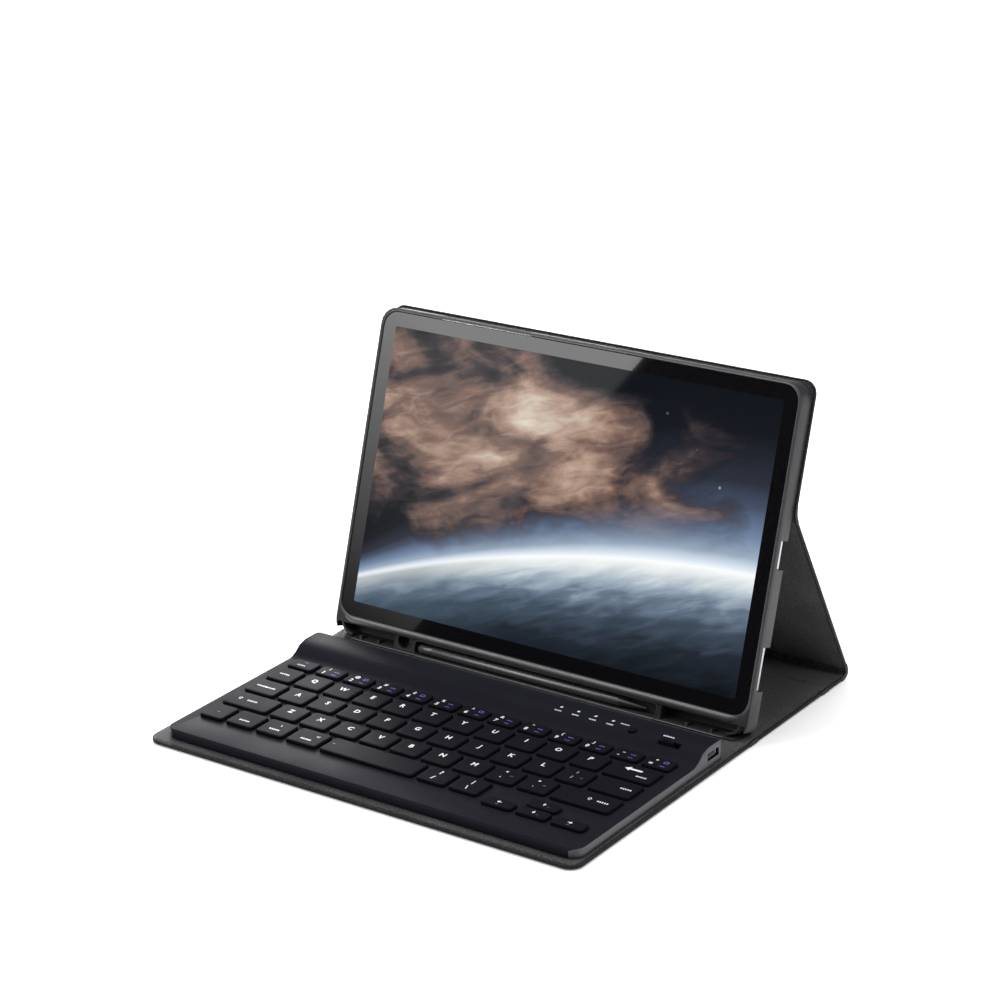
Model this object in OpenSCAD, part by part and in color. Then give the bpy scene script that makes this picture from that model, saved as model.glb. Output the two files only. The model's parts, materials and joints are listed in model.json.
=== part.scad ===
// Tablet keyboard case, stood up as a laptop: folding cover, tray shell, tablet, pen and keyboard.
// X runs along the width, Y from front to back and Z up. The origin is on the table, below the
// middle of the standing case.

/* [Cover] */
// Width of the folding cover
cover_w = 252.5; // [250:0.5:256]
// Thickness of each finished panel
panel_t = 2.6; // [2.4:0.1:3]
// Thickness of the outer leather skin
skin_t = 0.9; // [0.7:0.1:1]
// Thickness of the stiffening board
board_t = 1.2; // [1:0.1:1.2]
// Distance from the front edge to the fold behind the front panel
front_fold_y = 151; // [150:0.5:152]
// Distance from the front edge to the fold in front of the spine
spine_fold_y = 219; // [218:0.5:220]
// Distance from the front edge to the fold behind the spine
rear_fold_y = 242; // [241:0.5:243]
// Half of the soft gap that each fold leaves between two panels
fold_gap = 2.6; // [2.5:0.1:3]
// Radius of the cover's outer corners
cover_r = 7; // [5:0.5:9]
// Margin between a panel's edge and its board
board_margin = 4; // [3:0.5:5]

/* [Stand] */
// Lean of the tablet, measured from the table
tilt = 71.1; // [70:0.1:72]
// Distance from the front edge to the foot of the glass
glass_y = 148.2; // [147.8:0.1:148.8]
// Height of the foot of the glass
glass_z = 14.4; // [14.3:0.1:14.8]
// Distance up the tablet from the foot of the glass to the back fold
back_fold_v = 98; // [97:0.5:99]

/* [Tablet] */
// Length of the tablet
tablet_w = 246.8; // [246:0.1:247.4]
// Width of the tablet
tablet_h = 159.6; // [159:0.1:160]
// Thickness of the tablet
tablet_t = 7.5; // [7.4:0.1:7.5]
// Corner radius of the tablet
tablet_r = 8; // [7:0.5:9]

/* [Shell] */
// Thickness of the shell's side walls
shell_wall = 1.5; // [1.4:0.1:1.8]
// Distance from the glass to the outside of the shell's back
shell_depth = 8.9; // [8.9:0.1:9]
// How far the shell's rim stands in front of the glass
shell_rim = 0.5; // [0.3:0.1:0.7]
// Height of the shell's foot above the table
foot_z = 3; // [2.9:0.1:3.1]

/* [Pen] */
// Radius of the pen
pen_r = 2.3; // [2:0.1:2.3]
// Length of the pen
pen_len = 139; // [135:1:140]

/* [Keyboard] */
// Left edge of the keyboard
kb_left = -119; // [-120:0.5:-118]
// Right edge of the keyboard
kb_right = 124; // [123:0.5:124.5]
// Front edge of the keyboard
kb_front = 5; // [4:0.5:6]
// Rear edge of the keyboard
kb_rear = 127; // [126:0.5:128]
// Height of the key deck
deck_z = 7.5; // [7.4:0.1:7.7]
// Height of the raised rear part
hump_z = 13.4; // [13:0.1:14]
// Thickness of the keyboard's walls
kb_wall = 1.2; // [1:0.1:1.4]

/* [Keys] */
// Distance between letter keys
key_pitch = 18.5; // [18:0.1:18.6]
// Distance between rows of keys
row_pitch = 16.7; // [16.4:0.1:16.8]
// Gap between neighbouring keys
key_gap = 2.4; // [2.2:0.1:2.8]
// Height of the key tops
key_top_z = 9.1; // [8.8:0.1:9.4]
// Left edge of the block of keys
keys_left = -113; // [-114:0.5:-112]
// Right edge of the block of keys
keys_right = 116; // [115:0.5:117]

/* [Hidden] */
$fn = 48;

leather = [0.09, 0.09, 0.10];
lining_grey = [0.42, 0.43, 0.45];
board_grey = [0.55, 0.52, 0.48];
shell_grey = [0.16, 0.16, 0.17];
keyboard_black = [0.07, 0.07, 0.09];
key_black = [0.05, 0.05, 0.06];
metal_grey = [0.62, 0.63, 0.66];
glass_black = [0.03, 0.03, 0.04];
display_blue = [0.15, 0.2, 0.3];
film_white = [0.75, 0.78, 0.8];
magnet_grey = [0.72, 0.72, 0.74];

mid_t = panel_t / 2;
roll_r = mid_t - 0.05;
depth = rear_fold_y + roll_r;
clear = 0.3;
beyond = 1;

// The back fold lies in the middle of the upper back panel, behind the shell and its glue
back_w = -shell_depth - clear - panel_t;
fold_w = back_w + mid_t;
back_fold_y = glass_y + back_fold_v * cos(tilt) - fold_w * sin(tilt);
back_fold_z = glass_z + back_fold_v * sin(tilt) + fold_w * cos(tilt);
leg_y = back_fold_y - rear_fold_y;
leg_z = back_fold_z - mid_t;
leg_len = norm([leg_y, leg_z]);
leg_angle = atan2(leg_z, leg_y);

// Places on the tablet and its shell: u runs along the width, v up the glass and w out of it
pocket_gap = 0.3;
pocket_w = tablet_w + 2 * pocket_gap;
shell_w = pocket_w + 2 * shell_wall;
shell_top_v = tablet_h + pocket_gap + shell_wall;
upper_back_len = shell_top_v + 1.6 - back_fold_v;
foot_v = (foot_z - glass_z - shell_rim * cos(tilt)) / sin(tilt);
camera_u = -106;
camera_v = 140;
camera_hole_r = 8.7;
shell_corner_r = [10, 9];
glue_margin = [10, 6];
port_window = [72, 86];
speaker_window = [13, 34.5];
side_window_w = [-10, -2.6];
button_window_u = [-90, -34];
button_window_w = [-6.7, -1.5];
button_relief = 0.7;

recess_top_v = -4.2;
recess_floor_z = foot_z + 0.8;
pen_slot = [-72.8, 74.4];
pen_slot_w = -4.6;
pen_v = -8;
pen_w = -1.6;
pen_left = -71;
tip_len = 16;
cap_len = 9;
jack_u = -80;
jack_v = -6.2;
jack_r = 3.8;
jack_w = -4.5;
pocket_back = 1.4;
lug_w = 1.4;
lug_h = 3;
rib_r = 8;
rib_t = 1.2;

glass_t = 0.9;
housing_wall = 2;
housing_floor = 0.9;
display_t = 1.1;
display_margin = [7.4, 8];
battery_at = [-60, 20, -6.4];
battery_size = [120, 100, 4];
mainboard_at = [-96, 126, -5.6];
mainboard_size = [180, 24, 1.2];
lens_r = 6;
lens_bump_r = 7.2;
lens_bump_t = 1.6;
lens_back_w = -9.3;
lens_len = 6.3;
button_w = -4.1;
button_t = 2;
button_len = 1.8;
button_out = 0.4;
button_slack = 0.2;
power_u = [-83, -73];
volume_u = [-64, -42];

base_z = panel_t + clear;
feet_h = 0.4;
case_z = base_z + feet_h;
hump_y = 102.5;
plate_t = 1;
key_h = 2.2;
key_r = 1.8;
hole_gap = 0.4;
key_depth = row_pitch - key_gap;
number_depth = 9.6;
bottom_row_y = 31.5;
key_w = key_pitch - key_gap;
arrow_depth = 7;
arrow_low_y = 24;
first_q = -87.3;
first_a = -84;
first_z = -74.9;
number_pitch = (keys_right - keys_left + key_gap) / 13;
number_w = number_pitch - key_gap;
cap_inset = 0.6;
cap_step = 0.5;
number_y = row_y(3) + (key_depth + number_depth) / 2 + key_gap;

function row_y(n) = bottom_row_y + n * row_pitch;

// Each key is [x, y, width, depth]
function letters(first, n, row) = [for (i = [0:n - 1])
    [first + i * key_pitch, row_y(row), key_w, key_depth]];
function span(left, right, row) = [(left + right) / 2, row_y(row), right - left, key_depth];
function after(x) = x + key_w / 2 + key_gap;
function before(x) = x - key_w / 2 - key_gap;

number_keys = [for (i = [0:12])
    [keys_left + number_w / 2 + i * number_pitch, number_y, number_w, number_depth]];
top_letter_keys = letters(first_q, 10, 3);
home_letter_keys = letters(first_a, 10, 2);
bottom_letter_keys = letters(first_z, 9, 1);
tab_key = [span(keys_left, before(first_q), 3)];
backspace_key = [span(after(first_q + 9 * key_pitch), keys_right, 3)];
caps_key = [span(keys_left, before(first_a), 2)];
enter_key = [span(after(first_a + 9 * key_pitch), keys_right, 2)];
left_shift_key = [span(keys_left, before(first_z), 1)];
right_shift_key = [span(after(first_z + 8 * key_pitch), keys_right, 1)];
modifier_keys = [span(keys_left, -98.9, 0), span(-96.5, -80, 0),
    span(-77.6, -61.1, 0), span(-58.7, -40.4, 0)];
space_key = [span(-38, 17.4, 0)];
punctuation_keys = [span(19.8, 36, 0), span(38.4, 54.6, 0)];
arrow_keys = [
    [68.1, arrow_low_y, 17, arrow_depth],
    [87.4, arrow_low_y, 16.8, arrow_depth],
    [87.4, arrow_low_y + arrow_depth + 1.4, 16.8, arrow_depth],
    [107.2, arrow_low_y, 17.6, arrow_depth]
];
all_keys = concat(number_keys, top_letter_keys, home_letter_keys, bottom_letter_keys, tab_key,
    backspace_key, caps_key, enter_key, left_shift_key, right_shift_key, modifier_keys,
    space_key, punctuation_keys, arrow_keys);

magnet_r = 5;
magnet_spots = [for (x = [-90, 90]) for (y = [20, 106]) [x, y]];
led_spots = [for (i = [0:3]) [40 + 10 * i, 115]];
led_r = 0.8;
led_len = 2.2;
feet_spots = [for (x = [-104, 109]) for (y = [14, 118]) [x, y]];
feet_r = 4;
membrane_t = 0.3;
membrane_margin = 6;
dome_r = 2.6;
dome_h = 0.5;
kb_battery_at = [-70, 110.5];
kb_battery_size = [90, 12, 5.4];
kb_board_at = [30, 108];
kb_board_size = [84, 15, 1];
connect_spot = [83, 112];
connect_r = 2.1;
connect_h = 3;
switch_spot = [105, 110];
switch_size = [8, 2.6, 3.4];
switch_slot = [12, 3.2];
switch_ridge = [0.6, 2, 0.5];
port_y = 118;
port_z = 6.7;
port_size = [7, 9, 3.2];
port_wall = 0.4;
kb_corner_r = [7, 3];

// A rectangle from [x0, y0] to [x1, y1] with its own radius at the low and the high end
function arc(x, y, r, from) = [for (i = [0:5]) [x + r * cos(from + 18 * i), y + r * sin(from + 18 * i)]];
function plate_points(x0, y0, x1, y1, r0, r1) = concat(
    arc(x1 - r0, y0 + r0, r0, 270),
    arc(x1 - r1, y1 - r1, r1, 0),
    arc(x0 + r1, y1 - r1, r1, 90),
    arc(x0 + r0, y0 + r0, r0, 180));

module plate(x0, y0, x1, y1, r0, r1, t) {
    linear_extrude(t) polygon(plate_points(x0, y0, x1, y1, r0, r1));
}

// Runs a (Y, Z) outline along X
module along_x(x0, x1) {
    translate([x0, 0, 0]) rotate([90, 0, 90]) linear_extrude(x1 - x0) children();
}

module centred() {
    translate([0, -depth / 2, 0]) children();
}

// Tablet frame: X along the width, Y up the glass from its foot, Z out of the screen
module on_tablet() {
    centred() translate([0, glass_y, glass_z]) rotate([tilt, 0, 0]) children();
}

module on_lower_back() {
    centred() translate([0, rear_fold_y, mid_t]) rotate([leg_angle, 0, 0])
        translate([0, 0, -mid_t]) children();
}

module on_upper_back() {
    on_tablet() translate([0, back_fold_v, back_w]) children();
}

// Everything below a height above the table, seen from the tablet frame
module below_table(height) {
    rotate([-tilt, 0, 0]) translate([-cover_w, -glass_y, height - glass_z - cover_w])
        cube([2 * cover_w, 2 * cover_w, cover_w]);
}

// Each panel lies flat with its outside at zero, from y0 to y1 with end radii r0 and r1
module panel_outline(y0, y1, r0, r1, t) {
    plate(-cover_w / 2, y0, cover_w / 2, y1, r0, r1, t);
}

module panel_skin(y0, y1, r0, r1) {
    color(leather) panel_outline(y0, y1, r0, r1, skin_t);
}

module panel_core(y0, y1, r0, r1, t) {
    m = board_margin;
    translate([0, 0, skin_t])
        plate(m - cover_w / 2, y0 + m / 2, cover_w / 2 - m, y1 - m / 2, r0, r1, t);
}

module panel_board(y0, y1, r0, r1) {
    color(board_grey) panel_core(y0, y1, r0, r1, board_t);
}

module panel_lining(y0, y1, r0, r1) {
    color(lining_grey) difference() {
        translate([0, 0, skin_t]) panel_outline(y0, y1, r0, r1, panel_t - skin_t);
        translate([0, 0, -beyond]) panel_core(y0, y1, r0, r1, board_t + beyond);
    }
}

// The soft fold between two panels, drawn as a slim roll on the fold's own axis
module fold_roll() {
    color(leather) translate([1 - cover_w / 2, 0, mid_t]) rotate([0, 90, 0])
        cylinder(r = roll_r, h = cover_w - 2);
}

module front_panel_skin() {
    centred() panel_skin(0, front_fold_y - fold_gap, cover_r, 1);
}

module magnet_holes(r) {
    for (p = magnet_spots) translate([p[0], p[1], 0]) cylinder(r = r, h = panel_t);
}

module front_panel_board() {
    centred() difference() {
        panel_board(0, front_fold_y - fold_gap, cover_r - board_margin / 2, 1);
        magnet_holes(magnet_r + clear);
    }
}

module front_panel_lining() {
    centred() panel_lining(0, front_fold_y - fold_gap, cover_r - board_margin / 2, 1);
}

module front_panel_magnets() {
    centred() color(magnet_grey) for (p = magnet_spots)
        translate([p[0], p[1], skin_t]) cylinder(r = magnet_r, h = board_t);
}

module front_fold_strip() {
    centred() translate([0, front_fold_y, 0]) fold_roll();
}

module middle_panel_skin() {
    centred() panel_skin(front_fold_y + fold_gap, spine_fold_y - fold_gap, 1, 1);
}

module middle_panel_board() {
    centred() panel_board(front_fold_y + fold_gap, spine_fold_y - fold_gap, 1, 1);
}

module middle_panel_lining() {
    centred() panel_lining(front_fold_y + fold_gap, spine_fold_y - fold_gap, 1, 1);
}

module spine_fold_strip() {
    centred() translate([0, spine_fold_y, 0]) fold_roll();
}

module spine_skin() {
    centred() panel_skin(spine_fold_y + fold_gap, rear_fold_y - fold_gap, 1, 1);
}

module spine_lining() {
    centred() color(lining_grey) translate([0, 0, skin_t])
        panel_outline(spine_fold_y + fold_gap, rear_fold_y - fold_gap, 1, 1, panel_t - skin_t);
}

module rear_fold_strip() {
    centred() translate([0, rear_fold_y, 0]) fold_roll();
}

module lower_back_skin() {
    on_lower_back() panel_skin(fold_gap, leg_len - fold_gap, 1, 1);
}

module lower_back_board() {
    on_lower_back() panel_board(fold_gap, leg_len - fold_gap, 1, 1);
}

module lower_back_lining() {
    on_lower_back() panel_lining(fold_gap, leg_len - fold_gap, 1, 1);
}

module back_fold_strip() {
    on_upper_back() fold_roll();
}

module camera_hole(r) {
    translate([camera_u, camera_v - back_fold_v, -beyond]) cylinder(r = r, h = panel_t + 2 * beyond);
}

module upper_back_skin() {
    on_upper_back() difference() {
        panel_skin(fold_gap, upper_back_len, 1, cover_r);
        color(leather) camera_hole(camera_hole_r);
    }
}

module upper_back_board() {
    on_upper_back() difference() {
        panel_board(fold_gap, upper_back_len, 1, cover_r - board_margin / 2);
        color(board_grey) camera_hole(camera_hole_r);
    }
}

module upper_back_lining() {
    on_upper_back() difference() {
        panel_lining(fold_gap, upper_back_len, 1, cover_r - board_margin / 2);
        color(lining_grey) camera_hole(camera_hole_r);
    }
}

module adhesive_pad() {
    on_tablet() color("dimgray") difference() {
        translate([0, 0, -shell_depth - clear])
            plate(glue_margin[0] - shell_w / 2, back_fold_v + glue_margin[1],
                shell_w / 2 - glue_margin[0], shell_top_v - glue_margin[1], 2, 2, clear);
        translate([camera_u, camera_v, -shell_depth - beyond]) cylinder(r = camera_hole_r + 1, h = 2);
    }
}

// A pocket in the foot's front face, from u0 to u1, whose floor stays level with the table
module foot_pocket(u0, u1, back) {
    difference() {
        translate([u0, foot_v - beyond, back])
            cube([u1 - u0, recess_top_v - foot_v + beyond, shell_rim - back + beyond]);
        below_table(recess_floor_z);
    }
}

// A side pocket with two small lugs and a curved rib across its outer corner
module side_pocket(inner, side) {
    outer = shell_w / 2 - shell_wall;
    lo = side > 0 ? inner : -outer;
    hi = side > 0 ? outer : -inner;
    difference() {
        foot_pocket(lo, hi, pocket_back - shell_depth);
        translate([side * (outer - rib_r - 2), recess_top_v + 2, -shell_depth]) difference() {
            cylinder(r = rib_r, h = shell_depth);
            translate([0, 0, -beyond]) cylinder(r = rib_r - rib_t, h = shell_depth + 2 * beyond);
            translate([side > 0 ? -2 * rib_r : 0, -2 * rib_r, -beyond])
                cube([2 * rib_r, 4 * rib_r, shell_depth + 2 * beyond]);
        }
        for (k = [0.3, 0.6]) translate([side * (inner + k * (outer - inner)), foot_v, -shell_depth])
            cube([lug_w, lug_h, shell_depth]);
    }
}

// A notch in the shell's right wall, open to the back, from v[0] to v[1] up the tablet
module end_window(v) {
    translate([tablet_w / 2 - beyond, v[0], side_window_w[0]])
        cube([shell_wall + 3 * beyond, v[1] - v[0], side_window_w[1] - side_window_w[0]]);
}

// The window through the top wall for the side buttons, and a shallow relief to slide them out by
module button_window() {
    translate([button_window_u[0], tablet_h - beyond, button_window_w[0]])
        cube([button_window_u[1] - button_window_u[0], shell_wall + 3 * beyond,
            button_window_w[1] - button_window_w[0]]);
    translate([button_window_u[0], tablet_h - beyond, button_window_w[0]])
        cube([button_window_u[1] - button_window_u[0], button_relief + beyond, shell_depth]);
}

module tray_shell() {
    on_tablet() color(shell_grey) difference() {
        translate([0, 0, -shell_depth])
            plate(-shell_w / 2, foot_v, shell_w / 2, shell_top_v,
                shell_corner_r[0], shell_corner_r[1], shell_depth + shell_rim);
        translate([0, 0, -tablet_t - 0.2])
            plate(-pocket_w / 2, -pocket_gap, pocket_w / 2, tablet_h + pocket_gap,
                tablet_r, tablet_r, 2 * tablet_t);
        below_table(foot_z);
        foot_pocket(pen_slot[0], pen_slot[1], pen_slot_w);
        side_pocket(86, -1);
        side_pocket(77, 1);
        translate([jack_u, jack_v, jack_w]) cylinder(r = jack_r, h = shell_depth);
        end_window(port_window);
        end_window(speaker_window);
        button_window();
        translate([camera_u, camera_v, -shell_depth - beyond]) cylinder(r = camera_hole_r, h = 5);
    }
}

module camera_ring() {
    on_tablet() color(key_black) translate([camera_u, camera_v, back_w - 0.4]) difference() {
        cylinder(r = camera_hole_r - 0.1, h = panel_t + clear + 1.2);
        translate([0, 0, -beyond]) cylinder(r = camera_hole_r - 1.1, h = panel_t + 4 * beyond);
    }
}

// A button in the tablet's top edge, or, with some growth and a longer reach, the slot it slides in
module side_button(u, reach, grow) {
    translate([u[0] - grow, tablet_h + button_out - button_len - 3 * grow,
        button_w - button_t / 2 - grow])
        cube([u[1] - u[0] + 2 * grow, button_len + 3 * grow + reach, button_t + 2 * grow]);
}

// The tablet's outline, set in by m on every side
module tablet_plate(m, r, t) {
    plate(m - tablet_w / 2, m, tablet_w / 2 - m, tablet_h - m, r, r, t);
}

module tablet_housing() {
    on_tablet() color(metal_grey) difference() {
        translate([0, 0, -tablet_t]) tablet_plate(0, tablet_r, tablet_t - glass_t);
        translate([0, 0, housing_floor - tablet_t])
            tablet_plate(housing_wall, tablet_r - housing_wall, tablet_t);
        side_button(power_u, beyond, button_slack);
        side_button(volume_u, beyond, button_slack);
        translate([camera_u, camera_v, -tablet_t - beyond]) cylinder(r = lens_r + 0.2, h = 3);
    }
}

module tablet_glass() {
    on_tablet() color(glass_black) translate([0, 0, -glass_t]) tablet_plate(0, tablet_r, glass_t);
}

module tablet_display() {
    m = display_margin;
    on_tablet() color(display_blue) translate([0, 0, -glass_t - 0.1 - display_t])
        plate(m[0] - tablet_w / 2, m[1], tablet_w / 2 - m[0], tablet_h - m[1], 3, 3, display_t);
}

module tablet_battery() {
    on_tablet() color(board_grey) translate(battery_at) cube(battery_size);
}

module tablet_mainboard() {
    on_tablet() color("darkgreen") translate(mainboard_at) cube(mainboard_size);
}

module tablet_camera() {
    on_tablet() color(key_black) translate([camera_u, camera_v, lens_back_w]) {
        cylinder(r = lens_r, h = lens_len);
        cylinder(r = lens_bump_r, h = lens_bump_t);
    }
}

module tablet_power_button() {
    on_tablet() color(metal_grey) side_button(power_u, 0, 0);
}

module tablet_volume_rocker() {
    on_tablet() color(metal_grey) side_button(volume_u, 0, 0);
}

module on_pen(u) {
    on_tablet() translate([u, pen_v, pen_w]) rotate([0, 90, 0]) children();
}

module pen_barrel() {
    on_pen(pen_left + cap_len) color(metal_grey)
        cylinder(r = pen_r, h = pen_len - cap_len - tip_len);
}

module pen_tip() {
    on_pen(pen_left + pen_len - tip_len) color(key_black) {
        cylinder(r1 = pen_r, r2 = 0.8, h = tip_len - 1.5);
        translate([0, 0, tip_len - 1.6]) cylinder(r = 0.7, h = 1.6);
    }
}

module pen_cap() {
    on_pen(pen_left) color(metal_grey) {
        cylinder(r1 = pen_r - 0.7, r2 = pen_r, h = 1.2);
        translate([0, 0, 1.2]) cylinder(r = pen_r, h = cap_len - 1.2);
    }
}

// Side outline of the keyboard, set in by t on every side
function kb_outline(t) = [
    [kb_front + t, case_z + (t > 0 ? -1 : 0)], [kb_rear - t, case_z + (t > 0 ? -1 : 0)],
    [kb_rear - t, hump_z - 2.6 - t / 2], [kb_rear - 1.4 - t, hump_z - 0.8 - t],
    [kb_rear - 4, hump_z - t], [114, hump_z - t], [hump_y + 6.5 + t / 2, hump_z - 1.4 - t],
    [hump_y + 3 + t / 2, deck_z + 1.7 - t], [hump_y + t / 2, deck_z + 0.3 - t],
    [hump_y - 2, deck_z - t], [kb_front + 1.4, deck_z - t], [kb_front + t, deck_z - 1.1 - t]
];

module key_holes() {
    for (k = all_keys) translate([k[0], k[1], deck_z - kb_wall - 1]) linear_extrude(kb_wall + 2)
        polygon(key_points(k, hole_gap));
}

module kb_plan(t, h) {
    plate(kb_left + t, kb_front + t, kb_right - t, kb_rear - t,
        kb_corner_r[0] - t, kb_corner_r[1] - t / 2, h);
}

module keyboard_top_case() {
    centred() color(keyboard_black) difference() {
        intersection() {
            along_x(kb_left, kb_right) polygon(kb_outline(0));
            kb_plan(0, 20);
        }
        intersection() {
            along_x(kb_left + kb_wall, kb_right - kb_wall) polygon(kb_outline(kb_wall));
            kb_plan(kb_wall, 20);
        }
        key_holes();
        for (p = led_spots) translate([p[0], p[1], hump_z - 3]) cylinder(r = led_r + 0.1, h = 6);
        translate([connect_spot[0], connect_spot[1], hump_z - 4]) cylinder(r = connect_r + clear, h = 8);
        translate([switch_spot[0] - switch_slot[0] / 2, switch_spot[1] - switch_slot[1] / 2, hump_z - 4])
            cube([switch_slot[0], switch_slot[1], 8]);
        translate([kb_right - 3, port_y - port_size[1] / 2 - clear, port_z - clear])
            cube([6, port_size[1] + 2 * clear, port_size[2] + 2 * clear]);
    }
}

module keyboard_bottom_case() {
    centred() color(keyboard_black) translate([0, 0, case_z]) kb_plan(kb_wall + 0.1, plate_t);
}

module keyboard_membrane() {
    centred() color(film_white) translate([0, 0, case_z + plate_t + 0.1])
        plate(keys_left, arrow_low_y - membrane_margin, keys_right, number_y + membrane_margin,
            2, 2, membrane_t);
}

module keyboard_domes() {
    centred() color(film_white) for (k = all_keys)
        translate([k[0], k[1], case_z + plate_t + 0.1 + membrane_t]) cylinder(r = dome_r, h = dome_h);
}

module keyboard_battery() {
    centred() color(board_grey) translate([kb_battery_at[0], kb_battery_at[1], case_z + plate_t + 0.2])
        cube(kb_battery_size);
}

module keyboard_circuit_board() {
    centred() color("darkgreen") translate([kb_board_at[0], kb_board_at[1], case_z + plate_t + 0.4])
        cube(kb_board_size);
}

module keyboard_magnets() {
    centred() color(magnet_grey) for (p = magnet_spots) translate([p[0], p[1], case_z - feet_h])
        cylinder(r = magnet_r, h = feet_h);
}

module keyboard_feet() {
    centred() color(key_black) for (p = feet_spots)
        translate([p[0], p[1], base_z]) cylinder(r = feet_r, h = feet_h);
}

module keyboard_charge_port() {
    centred() color(metal_grey) translate([kb_right - 8.4, port_y - port_size[1] / 2, port_z])
        difference() {
            cube(port_size);
            translate([beyond, port_wall, port_wall])
                cube([port_size[0], port_size[1] - 2 * port_wall, port_size[2] - 2 * port_wall]);
        }
}

module keyboard_leds() {
    centred() color(film_white) for (p = led_spots)
        translate([p[0], p[1], hump_z - led_len]) cylinder(r = led_r, h = led_len);
}

module keyboard_power_switch() {
    centred() color(key_black)
        translate([switch_spot[0] - switch_slot[0] / 2 + 0.4, switch_spot[1] - switch_size[1] / 2,
            hump_z - switch_size[2]]) {
            cube(switch_size);
            for (k = [0:2]) translate([2.4 + 1.4 * k, clear, switch_size[2] - 0.1]) cube(switch_ridge);
        }
}

module keyboard_connect_button() {
    centred() color(key_black) translate([connect_spot[0], connect_spot[1], hump_z - connect_h])
        cylinder(r = connect_r, h = connect_h);
}

// Outline of one key, grown by g on every side
function key_points(k, g) = plate_points(
    -k[2] / 2 - g, -k[3] / 2 - g, k[2] / 2 + g, k[3] / 2 + g, key_r + g, key_r + g);

// Each cap is a flared base with a slightly smaller flat top
module caps(keys) {
    centred() color(key_black) for (k = keys) translate([k[0], k[1], key_top_z - key_h]) {
        linear_extrude(key_h - cap_step) polygon(key_points(k, 0));
        linear_extrude(key_h) polygon(key_points(k, -cap_inset));
    }
}

module keys_numbers() {
    caps(number_keys);
}

module keys_top_letters() {
    caps(top_letter_keys);
}

module keys_home_letters() {
    caps(home_letter_keys);
}

module keys_bottom_letters() {
    caps(bottom_letter_keys);
}

module keys_modifiers() {
    caps(modifier_keys);
}

module keys_punctuation() {
    caps(punctuation_keys);
}

module keys_arrows() {
    caps(arrow_keys);
}

module key_tab() {
    caps(tab_key);
}

module key_caps() {
    caps(caps_key);
}

module key_left_shift() {
    caps(left_shift_key);
}

module key_right_shift() {
    caps(right_shift_key);
}

module key_enter() {
    caps(enter_key);
}

module key_backspace() {
    caps(backspace_key);
}

module key_space() {
    caps(space_key);
}

front_panel_skin();
front_panel_board();
front_panel_lining();
front_panel_magnets();
front_fold_strip();
middle_panel_skin();
middle_panel_board();
middle_panel_lining();
spine_fold_strip();
spine_skin();
spine_lining();
rear_fold_strip();
lower_back_skin();
lower_back_board();
lower_back_lining();
back_fold_strip();
upper_back_skin();
upper_back_board();
upper_back_lining();
adhesive_pad();
tray_shell();
camera_ring();
tablet_housing();
tablet_glass();
tablet_display();
tablet_battery();
tablet_mainboard();
tablet_camera();
tablet_power_button();
tablet_volume_rocker();
pen_barrel();
pen_tip();
pen_cap();
keyboard_top_case();
keyboard_bottom_case();
keyboard_membrane();
keyboard_domes();
keyboard_battery();
keyboard_circuit_board();
keyboard_magnets();
keyboard_feet();
keyboard_charge_port();
keyboard_leds();
keyboard_power_switch();
keyboard_connect_button();
keys_numbers();
keys_top_letters();
keys_home_letters();
keys_bottom_letters();
keys_modifiers();
keys_punctuation();
keys_arrows();
key_tab();
key_caps();
key_left_shift();
key_right_shift();
key_enter();
key_backspace();
key_space();
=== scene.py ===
import json
import math
import random

import bmesh
import bpy
from mathutils import Matrix, Vector


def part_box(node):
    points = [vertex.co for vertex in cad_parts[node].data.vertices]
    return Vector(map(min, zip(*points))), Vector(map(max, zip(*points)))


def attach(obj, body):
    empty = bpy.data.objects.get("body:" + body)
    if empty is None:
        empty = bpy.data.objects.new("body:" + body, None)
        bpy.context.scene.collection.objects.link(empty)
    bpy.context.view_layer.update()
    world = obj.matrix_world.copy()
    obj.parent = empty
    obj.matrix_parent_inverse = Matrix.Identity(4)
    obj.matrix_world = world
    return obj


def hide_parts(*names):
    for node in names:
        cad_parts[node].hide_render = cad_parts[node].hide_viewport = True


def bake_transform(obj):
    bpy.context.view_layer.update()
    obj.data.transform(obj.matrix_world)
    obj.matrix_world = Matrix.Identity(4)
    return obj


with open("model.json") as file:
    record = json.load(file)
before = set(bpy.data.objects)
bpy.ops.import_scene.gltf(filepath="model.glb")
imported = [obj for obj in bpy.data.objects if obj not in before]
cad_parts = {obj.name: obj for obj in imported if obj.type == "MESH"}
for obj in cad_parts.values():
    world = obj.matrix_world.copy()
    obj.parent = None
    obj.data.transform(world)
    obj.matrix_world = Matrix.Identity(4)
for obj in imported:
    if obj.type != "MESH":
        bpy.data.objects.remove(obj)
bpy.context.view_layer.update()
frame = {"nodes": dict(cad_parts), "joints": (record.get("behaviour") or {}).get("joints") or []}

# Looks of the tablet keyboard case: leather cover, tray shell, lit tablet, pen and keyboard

MM = 0.001

# ---------------------------------------------------------------- places taken from the frame

JOINTS = {j["name"]: j for j in frame["joints"]}


def hinge(name):
    return Vector(JOINTS[name]["pos_m"])


out_axis = Vector(JOINTS["tablet_out"]["axis"])
tilt = math.atan2(-out_axis.y, out_axis.z)
glass_low, glass_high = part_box("tablet_glass")
span_y, span_z = glass_high.y - glass_low.y, glass_high.z - glass_low.z
sin_t, cos_t = math.sin(tilt), math.cos(tilt)
tablet_h = (span_z * sin_t - span_y * cos_t) / (sin_t ** 2 - cos_t ** 2)
glass_t = (span_y - tablet_h * cos_t) / sin_t
tablet_w = glass_high.x - glass_low.x
# The tablet's own frame: X along the width, Y up from the foot of the glass, Z out of the glass
TABLET = Matrix.Translation((0, glass_low.y, glass_low.z + glass_t * cos_t)) @ Matrix.Rotation(tilt, 4, "X")

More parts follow.
